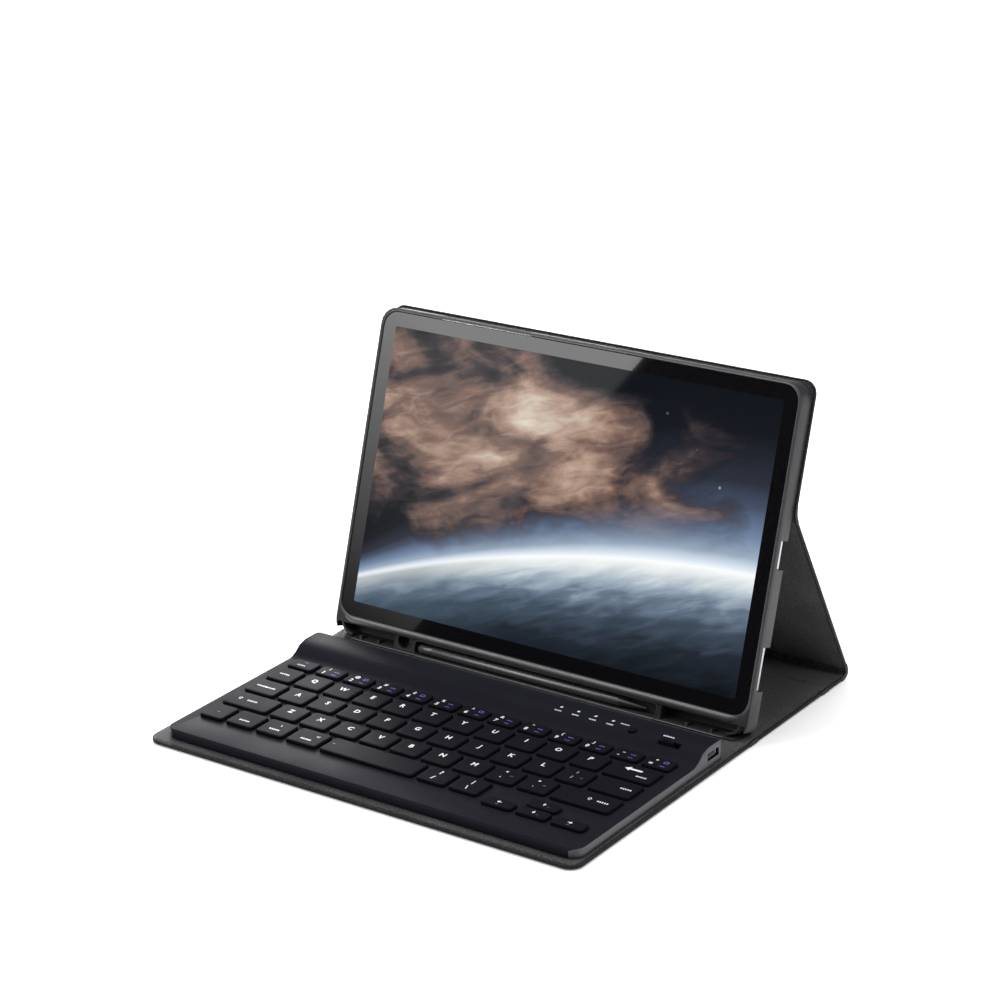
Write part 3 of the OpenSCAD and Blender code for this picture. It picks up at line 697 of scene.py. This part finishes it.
def fold_piece(joint, node, bend, base_angle, faces, material, slot, suffix):
    """A soft strip that crosses one fold. bend is the turn between its two panels at rest, and faces
    are the distances of its two sides from the outside of the panels."""
    reach = FOLD_END[joint] * MM
    rng = random.Random(joint + suffix)
    waves = [tuple(rng.uniform(*limits) for limits in WAVE) for _ in range(WAVES)]
    outside, inside, rim = (fold_line(reach, bend, high * MM - mid_t) for high in (*faces, RIM_HIGH))
    turn = Matrix.Translation(hinge(joint)) @ Matrix.Rotation(base_angle, 4, "X")
    half_w = cover_half - (END_GAP if node else RIM + RIM_STEP)
    flat_w = half_w - RIM if node else half_w
    across = [-flat_w + 2 * flat_w * k / WIDTH_STEPS for k in range(WIDTH_STEPS + 1)]
    if node:
        across = [-half_w, -flat_w - RIM_STEP] + across + [flat_w + RIM_STEP, half_w]
    sections = []
    for x in across:
        ripple = sum(a * math.sin(f * x + p) for a, f, p in waves)
        section = []
        upper = rim if abs(x) > flat_w else inside
        for points in (outside, upper[::-1]):
            for i, (y, z) in enumerate(points):
                depth = math.sin(math.pi * i / FOLD_STEPS)
                section.append(turn @ Vector((x, y, z + ripple * depth)))
        sections.append(section)
    build = Build(joint + suffix)
    build.strip(sections, material)
    piece = build.done(None, *([node] if node else []), slot=slot, sharp=60)
    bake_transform(piece)


def make_cover():
    y_front_fold, y_spine_fold, y_rear_fold = (hinge(n).y for n in ("front_fold", "spine_fold", "rear_fold"))
    soft = FOLD_END["rear_fold"] * MM - fold_gap - FOLD_OVERLAP
    cover_panel("front_panel", "front_panel", TABLE, front_y, y_front_fold - fold_gap, r0=CORNER)
    cover_panel("middle_panel", "middle_panel", TABLE, y_front_fold + fold_gap, y_spine_fold - fold_gap)
    cover_panel("spine", "spine", TABLE, y_spine_fold + fold_gap, y_rear_fold - fold_gap - soft)
    cover_panel("lower_back", "lower_back", LOWER_BACK, fold_gap + soft, leg.length - fold_gap)
    top = (UPPER_BACK.inverted() @ TABLET @ Vector((0, tablet_h + COVER_PAST_GLASS, 0))).y
    low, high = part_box("camera_ring")
    centre = UPPER_BACK.inverted() @ ((low + high) / 2)
    cover_panel("upper_back", "upper_back", UPPER_BACK, fold_gap, top, r1=CORNER,
                hole=(centre.x, centre.y, (high.x - low.x) / 2 + CAMERA_GAP))
    folds = (("front_fold", 0.0, 0.0), ("spine_fold", 0.0, 0.0), ("rear_fold", leg_angle, 0.0),
             ("back_fold", tilt - leg_angle, leg_angle))
    for joint, bend, base in folds:
        fold_piece(joint, joint + "_strip", bend, base, LEATHER_FACES, "black_leather", "outer_leather",
                   "_leather")
        fold_piece(joint, None, bend, base, LINING_FACES, "grey_microfibre", "microfibre_lining",
                   "_microfibre")


# ---------------------------------------------------------------- tray shell, tablet and pen

# Rounded lip of the tray round the glass, as (distance out from the glass, height over it), in mm
LIP_PROFILE = ((0.15, -0.8), (0.15, 0.35), (0.22, 0.66), (0.42, 0.86), (0.66, 0.84), (0.86, 0.66),
               (0.95, 0.4), (1.08, 0.36), (1.16, 0.5), (1.3, 0.58), (1.5, 0.52), (1.66, 0.34), (1.72, 0.1),
               (1.72, -0.8))
# The sill swells below the glass, down to the pen slot, and a finer line runs along the foot. Each is
# (lowest, highest) up the tablet, with its swell; the line is measured from the foot of the shell.
SILL, SILL_SWELL = (-3.95, -0.2), 1.0
FOOT_LINE, FOOT_LINE_SWELL = (0.1, 0.8), 0.3
SHELL_FRONT = 0.45 * MM
BAR_STEPS, BAR_TAPER, BAR_SUNK = 10, 7 * MM, 0.5 * MM
# Share of a bar's width and swell that is left at its ends
END_WIDTH, END_SWELL = 0.35, 0.1
# Where the round plug hole (with its radius) and the pen slot are in the foot's front, in mm
JACK = (-80.0, -6.2, 3.8)
PEN_SLOT, PEN_SLOT_TOP = (-72.8, 74.4), -4.2
PEN_SLOT_TURNS = (3 * MM, 2 * MM)
FOOT_HALF, SILL_END = 114 * MM, 4 * MM
GLASS_TURN = 8 * MM
# Bead round the plug hole and the pen slot, as (distance out, height)
RING_PROFILE = ((0.0, 0.2), (0.0, 0.55), (0.15, 0.8), (0.4, 0.8), (0.55, 0.55), (0.55, 0.2))


def rounded_bar(build, u0, u1, low_v, high_v, swell):
    """A bar along the tray whose front bulges out by swell and tapers at both ends."""
    ends = [(i / BAR_STEPS, math.sin(math.pi / 2 * i / BAR_STEPS)) for i in range(BAR_STEPS + 1)]
    places = [(u0 + t * BAR_TAPER, k) for t, k in ends] + [(u1 - t * BAR_TAPER, k) for t, k in ends[::-1]]
    sections = []
    for u, k in places:
        low = high_v + (low_v - high_v) * (END_WIDTH + (1 - END_WIDTH) * k)
        front = []
        for i in range(BAR_STEPS + 1):
            a = math.pi * i / BAR_STEPS
            v = (low + high_v) / 2 - (high_v - low) / 2 * math.cos(a)
            w = SHELL_FRONT + swell * (END_SWELL + (1 - END_SWELL) * k) * math.sin(a)
            front.append(TABLET @ Vector((u, v, w)))
        back = [TABLET @ Vector((u, v, SHELL_FRONT - BAR_SUNK)) for v in (high_v, low)]
        sections.append(front + back)
    # The bar takes the glossy lip plastic, whose lighter base colour is a painted highlight
    build.strip(sections, "lip_plastic")


def bead(build, loop_at, profile):
    """A closed bead on the tray. loop_at gives its line at a distance outwards."""
    loops = [(loop_at(d * MM), z * MM) for d, z in profile]
    # The bead takes the glossy lip plastic, whose lighter base colour is a painted highlight
    build.stack(loops, "lip_plastic", TABLET, caps=(False, False), closed=True)


def make_shell():
    shell_foot = min((TABLET.inverted() @ v.co).y for v in frame["nodes"]["tray_shell"].data.vertices)
    foot_low, foot_high = (shell_foot + v * MM for v in FOOT_LINE)
    half, r = tablet_w / 2, GLASS_TURN
    lip = Build("tray_lip")
    bead(lip, lambda d: rounded_loop(-half, 0, half, tablet_h, r, r, -d), LIP_PROFILE)
    rounded_bar(lip, -FOOT_HALF, FOOT_HALF, foot_low, foot_high, FOOT_LINE_SWELL * MM)
    jack_u, jack_v, jack_r = (k * MM for k in JACK)
    bead(lip, lambda d: circle_loop(jack_u, jack_v, jack_r + d), RING_PROFILE)
    (u0, u1), v1 = (k * MM for k in PEN_SLOT), PEN_SLOT_TOP * MM
    bead(lip, lambda d: rounded_loop(u0, foot_low, u1, v1, *PEN_SLOT_TURNS, -d), RING_PROFILE)
    rounded_bar(lip, SILL_END - half, half - SILL_END, SILL[0] * MM, SILL[1] * MM, SILL_SWELL * MM)
    lip.done("upper_back", slot="shell_plastic", sharp=50)
    finished("tray_shell", "upper_back", "shell_plastic", "shell_plastic", bevel=0.22)
    finished("camera_ring", "upper_back", "ring_plastic", "shell_plastic", bevel=0.2)
    finished("adhesive_pad", "upper_back", "film", "glue_film", bevel=0)


# Lines round the edge of the cover glass, as (distance in from its outline, height), in mm
GLASS_EDGE = ((0.9, -0.9), (0.0, -0.9), (0.0, -0.28), (0.08, -0.1), (0.28, 0.0))
BEZEL, SCREEN_INSET = 7.6 * MM, 2 * MM


def make_tablet():
    half, r = tablet_w / 2, GLASS_TURN
    build = Build("tablet_front")
    loops = [(rounded_loop(-half, 0, half, tablet_h, r, r, d * MM), z * MM) for d, z in GLASS_EDGE]
    build.stack(loops, "glass_border", TABLET, caps=(True, False))
    top = loops[-1]
    insets = (BEZEL, BEZEL + SCREEN_INSET)
    shown, inner = ((rounded_loop(-half, 0, half, tablet_h, r, r, d), 0.0) for d in insets)
    build.stack([top, shown], "glass_border", TABLET, caps=(False, False))
    build.stack([shown, inner], "screen_picture", TABLET, caps=(False, True))
    bmesh.ops.remove_doubles(build.bm, verts=build.bm.verts, dist=WELD)
    uv = build.bm.loops.layers.uv.new("screen")
    back = TABLET.inverted()
    for f in build.bm.faces:
        for corner in f.loops:
            p = back @ corner.vert.co
            corner[uv].uv = (p.x / tablet_h, p.y / tablet_h)
    build.done("tablet", "tablet_glass", "tablet_display", slot="cover_glass", sharp=30)
    finished("tablet_housing", "tablet", "tablet_metal", "tablet_metal", bevel=0.3)
    finished("tablet_power_button", "power_button", "tablet_metal", "tablet_metal", bevel=0.25)
    finished("tablet_volume_rocker", "volume_rocker", "tablet_metal", "tablet_metal", bevel=0.25)
    finished("tablet_camera", "tablet", "lens_glass", "lens_glass", bevel=0.3)


def make_pen():
    finished("pen_barrel", "pen", "pen_plastic", "pen_metal", bevel=0.1)
    finished("pen_tip", "pen", "pen_tip", "pen_tip_plastic", bevel=0.1)
    finished("pen_cap", "pen", "pen_plastic", "pen_metal", bevel=0.2)


# ---------------------------------------------------------------- keyboard

KEY_R = 1.8 * MM
KEY_PROFILE = ((0.0, 0.0), (0.0, 1.55), (0.10, 1.90), (0.32, 2.10), (0.60, 2.17), (1.4, 2.2))
KEY_NODES = [n for n in frame["nodes"] if n.startswith(("key_", "keys_"))]

WHITE, VIOLET = "white_legend", "violet_legend"
INK = 0.012 * MM
GLYPHS = {}
GLYPH_STEPS, GLYPH_SWELL = 2, 0.03


def glyph(text):
    """Outline of a letter or sign, one unit high for a capital, centred, as (points, faces)."""
    if text not in GLYPHS:
        made = []
        for word in ("H", text):
            curve = bpy.data.curves.new("glyph", "FONT")
            curve.body, curve.size = word, 1
            curve.resolution_u, curve.offset = GLYPH_STEPS, GLYPH_SWELL
            holder = bpy.data.objects.new("glyph", curve)
            bpy.context.scene.collection.objects.link(holder)
            mesh = bpy.data.meshes.new_from_object(holder)
            made.append(([v.co.copy() for v in mesh.vertices], [tuple(f.vertices) for f in mesh.polygons]))
            bpy.data.objects.remove(holder)
            bpy.data.meshes.remove(mesh)
            bpy.data.curves.remove(curve)
        (capital, _), (points, faces) = made
        unit = max(p.y for p in capital)
        cx = (min(p.x for p in points) + max(p.x for p in points)) / 2
        GLYPHS[text] = ([((p.x - cx) / unit, p.y / unit - 0.5) for p in points], faces)
    return GLYPHS[text]


def bar(w, h, x=0.0, y=0.0):
    return [(x - w / 2, y - h / 2), (x + w / 2, y - h / 2), (x + w / 2, y + h / 2), (x - w / 2, y + h / 2)]


# Outlines of the generic signs. A row of small bars stands for a word.
SIGNS = {
    "bar": [bar(2.2, 0.34)],
    "word": [bar(0.5, 0.8, x) for x in (-1.7, -0.85, 0.0, 0.85, 1.7)],
    "dots": [bar(0.45, 0.5, x) for x in (-0.7, 0.0, 0.7)],
    "left": [[(-2.4, 0), (-0.9, 0.95), (-0.9, 0.35), (2.4, 0.35), (2.4, -0.35), (-0.9, -0.35),
              (-0.9, -0.95)]],
    "small_left": [[(-0.9, 0), (0, 0.7), (0, 0.18), (0.9, 0.18), (0.9, -0.18), (0, -0.18), (0, -0.7)]],
    "small_right": [[(0.9, 0), (0, -0.7), (0, -0.18), (-0.9, -0.18), (-0.9, 0.18), (0, 0.18), (0, 0.7)]],
    "small_up": [[(0, 0.9), (-0.7, 0), (-0.18, 0), (-0.18, -0.8), (0.18, -0.8), (0.18, 0), (0.7, 0)]],
    "small_down": [[(0, -0.9), (0.7, 0), (0.18, 0), (0.18, 0.8), (-0.18, 0.8), (-0.18, 0), (-0.7, 0)]],
    "shift": [[(0, 1.1), (-1.1, 0), (-0.75, 0), (0, 0.75)], [(0, 1.1), (0, 0.75), (0.75, 0), (1.1, 0)],
              [(-1.1, 0), (-0.5, 0), (-0.5, -0.9), (-0.25, -0.9), (-0.25, 0.22), (-0.9, 0.22)],
              [(1.1, 0), (0.9, 0.22), (0.25, 0.22), (0.25, -0.9), (0.5, -0.9), (0.5, 0)],
              [(-0.5, -0.9), (0.5, -0.9), (0.5, -0.68), (-0.5, -0.68)]],
    "frame": [bar(1.7, 0.28), bar(1.7, 0.28, 0, 1.2), bar(0.28, 1.4, -0.75, 0.6), bar(0.28, 1.4, 0.75, 0.6)],
}


def stamp(build, kind, at, size, colour, slope=0.0):
    """Prints a sign or a letter at a point on a surface that climbs by slope."""
    index = build.slot(colour)
    if kind in SIGNS:
        outlines = [(points, [tuple(range(len(points)))]) for points in SIGNS[kind]]
    else:
        outlines = [glyph(kind)]
    k = size * MM
    for points, faces in outlines:
        places = [(at.x + x * k, at.y + y * k, at.z + y * k * slope + INK) for x, y in points]
        verts = [build.bm.verts.new(place) for place in places]
        for face in faces:
            made = build.bm.faces.new([verts[i] for i in face])
            made.material_index = index
            if made.normal.z < 0:
                made.normal_flip()


def letter_marks(letters):
    return [[(c, -0.05, 0.2, 3.1, WHITE)] for c in letters]


def number_marks():
    marks = [[("word", -0.1, -0.3, 1.2, WHITE), ("dots", 0.0, 0.45, 1.0, VIOLET)]]
    for number, sign in zip("1234567890-=", "!@#$%^&*()_+"):
        marks.append([(number, -0.45, -0.42, 2.6, WHITE), (sign, -0.3, 0.45, 2.1, WHITE),
                      ("frame" if number in "246=" else "dots", 0.4, 0.1, 1.5, VIOLET),
                      ("bar", 0.4, -0.55, 1.2, VIOLET)])
    return marks


# Marks on each key of a node from left to right, each (kind, across, up, size in mm, colour). Across and
# up run from -1 to 1 between the edges of the key.
MARKS = {
    "keys_numbers": number_marks(),
    "keys_top_letters": letter_marks("QWERTYUIOP"),
    "keys_home_letters": letter_marks("ASDFGHJKL") + [
        [(";", -0.1, -0.25, 2.2, WHITE), (":", -0.1, 0.45, 2.2, WHITE), ("dots", 0.5, -0.2, 0.9, VIOLET)]],
    "keys_bottom_letters": letter_marks("ZXCVBNM") + [
        [(a, -0.15, 0.42, 1.9, WHITE), (b, -0.15, -0.25, 2.2, WHITE), ("bar", 0.4, 0.0, 0.9, VIOLET)]
        for a, b in (("<", ","), (">", "."))],
    "keys_modifiers": [[("bar", 0.0, -0.1, 0.9, VIOLET)], [("word", 0.0, -0.3, 1.5, WHITE)],
                       [("small_up", 0.1, 0.35, 0.8, WHITE), ("word", 0.0, -0.3, 1.5, WHITE)],
                       [("frame", 0.45, 0.25, 0.9, WHITE), ("word", 0.0, -0.35, 1.5, WHITE)]],
    "keys_punctuation": [[("?", 0.0, 0.4, 3.0, WHITE), ("/", -0.1, -0.4, 3.0, WHITE)],
                         [("|", 0.0, 0.4, 2.6, WHITE), ("\\", 0.0, -0.4, 3.0, WHITE)]],
    "keys_arrows": [[("small_left", 0.0, 0.15, 1.4, WHITE), ("bar", 0.0, -0.5, 0.8, VIOLET)],
                    [("small_down", 0.0, 0.1, 1.3, WHITE), ("bar", 0.35, -0.3, 0.6, VIOLET)],
                    [("small_up", 0.0, 0.1, 1.3, WHITE), ("bar", 0.35, -0.3, 0.6, VIOLET)],
                    [("small_right", 0.0, 0.15, 1.4, WHITE), ("bar", 0.0, -0.5, 0.8, VIOLET)]],
    "key_tab": [[("word", -0.1, 0.0, 1.5, WHITE)]],
    "key_caps": [[("word", -0.35, 0.0, 1.5, WHITE), ("word", 0.25, 0.0, 1.4, WHITE)]],
    "key_left_shift": [[("shift", -0.55, 0.05, 1.3, WHITE), ("word", 0.0, 0.0, 1.5, WHITE)]],
    "key_right_shift": [[("shift", 0.1, 0.05, 1.3, WHITE), ("word", 0.55, 0.0, 1.5, WHITE)]],
    "key_enter": [[("word", 0.5, 0.0, 1.5, WHITE)]],
    "key_backspace": [[("left", -0.05, 0.3, 2.0, WHITE), ("word", 0.5, -0.4, 1.4, WHITE)]],
    "key_space": [[("small_left", -0.88, 0.1, 0.9, VIOLET)]],
}


def make_keys():
    for node in KEY_NODES:
        build = Build(node + "_caps")
        for (low, high), marks in zip(islands(node), MARKS[node]):
            loops = [(rounded_loop(low.x, low.y, high.x, high.y, KEY_R, KEY_R, d * MM), low.z + z * MM)
                     for d, z in KEY_PROFILE]
            build.stack(loops, "key_plastic")
            middle, half = (low + high) / 2, (high - low) / 2
            for kind, across, up, size, colour in marks:
                at = Vector((middle.x + across * half.x, middle.y + up * half.y, high.z))
                stamp(build, kind, at, size, colour)
        build.done(node, node, slot="key_plastic", sharp=50)


# Slope of the raised rear part in front of the lamps, and how far it runs
HUMP_SLOPE, HUMP_RUN = 1.4 / 5, 3.6 * MM
# A lamp's mark stands back from the end of the slope, at this share of its fall
LAMP_MARK_BACK, LAMP_MARK_DROP = 1.2 * MM, 0.5
# Sizes of the marks in mm, and the places of two of them from their switch and button
LAMP_MARK, SWITCH_MARK, BUTTON_MARK = 0.95, 1.5, 1.2
SWITCH_MARK_AT = Vector((-1 * MM, 2.2 * MM, 0))
BUTTON_MARK_AT = Vector((-4 * MM, 0.5 * MM, 0))


def make_hump_marks():
    """Rows of small bars where words would be, in front of the lamps and behind the switch."""
    build = Build("keyboard_marks")
    for low, high in islands("keyboard_leds"):
        drop = HUMP_SLOPE * HUMP_RUN * LAMP_MARK_DROP
        at = Vector(((low.x + high.x) / 2, low.y - HUMP_RUN + LAMP_MARK_BACK, high.z - drop))
        stamp(build, "word", at, LAMP_MARK, WHITE, HUMP_SLOPE)
    low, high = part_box("keyboard_power_switch")
    at = Vector(((low.x + high.x) / 2, high.y, high.z)) + SWITCH_MARK_AT
    stamp(build, "word", at, SWITCH_MARK, WHITE)
    low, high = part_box("keyboard_connect_button")
    at = Vector((low.x, high.y, high.z)) + BUTTON_MARK_AT
    stamp(build, "word", at, BUTTON_MARK, WHITE)
    build.done("keyboard", slot="key_plastic")


def make_keyboard():
    make_hump_marks()
    # The top case's sideways faces get the glossy side plastic, whose lighter base colour is painted light
    finished("keyboard_top_case", "keyboard", "keyboard_plastic", "keyboard_plastic", bevel=0.3, smooth=30,
             outline=0.8, side_material="glossy_side_painted_light")
    finished("keyboard_bottom_case", "keyboard", "keyboard_plastic", "keyboard_plastic", bevel=0.2)
    finished("keyboard_feet", "keyboard", "rubber", "foot_rubber", bevel=0.1)
    finished("keyboard_charge_port", "keyboard", "steel", "port_steel", bevel=0.1)
    finished("keyboard_leds", "keyboard", "lamp", "led_lens", bevel=0.1)
    finished("keyboard_power_switch", "keyboard_switch", "key_plastic", "key_plastic", bevel=0.15)
    finished("keyboard_connect_button", "connect_button", "key_plastic", "key_plastic", bevel=0.2)


# CAD nodes that are shown as they are, with the material of each
CARRIED = {
    "tablet_battery": "film", "tablet_mainboard": "board", "keyboard_membrane": "film",
    "keyboard_domes": "film", "keyboard_battery": "film", "keyboard_circuit_board": "board",
    "keyboard_magnets": "steel", "front_panel_magnets": "steel",
}


def dress_carried_nodes():
    for node, material in CARRIED.items():
        mesh = frame["nodes"][node].data
        mesh.materials.clear()
        mesh.materials.append(MATERIALS[material])


# ---------------------------------------------------------------- the scene

make_materials()
add_camera()
add_studio()
add_floor()
make_cover()
make_shell()
make_tablet()
make_pen()
make_keys()
make_keyboard()
dress_carried_nodes()

bpy.context.view_layer.update()
